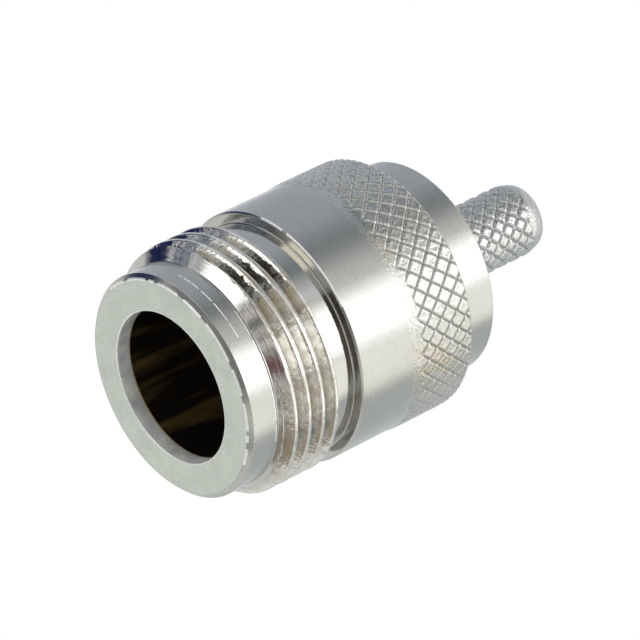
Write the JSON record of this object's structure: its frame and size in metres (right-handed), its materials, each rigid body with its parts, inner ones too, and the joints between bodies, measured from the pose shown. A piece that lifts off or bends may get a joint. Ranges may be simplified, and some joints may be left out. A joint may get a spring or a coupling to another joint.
{
  "type": "coaxial crimp connector",
  "caption": "Nickel-plated coaxial jack with a threaded front, knurled barrel and hollow crimp stem for a thin shielded cable.",
  "frame": {"origin": "centre of the mating face, where the connector stands", "axes": "+Z along the connector's axis, from the mating face to the crimp stem; X and Y are free"},
  "size_m": [0.0162, 0.0162, 0.0285],
  "materials": {
    "nickel_shell": "bright nickel plate over turned brass",
    "nickel_rear": "bright nickel plate over turned and knurled brass",
    "insulator": "turned white PTFE",
    "contact": "gold plate over turned bronze"
  },
  "bodies": {
    "root": {"shell": "nickel_shell", "rear_body": "nickel_rear", "front_insulator": "insulator", "rear_insulator": "insulator", "centre_contact": "contact"}
  },
  "joints": []
}
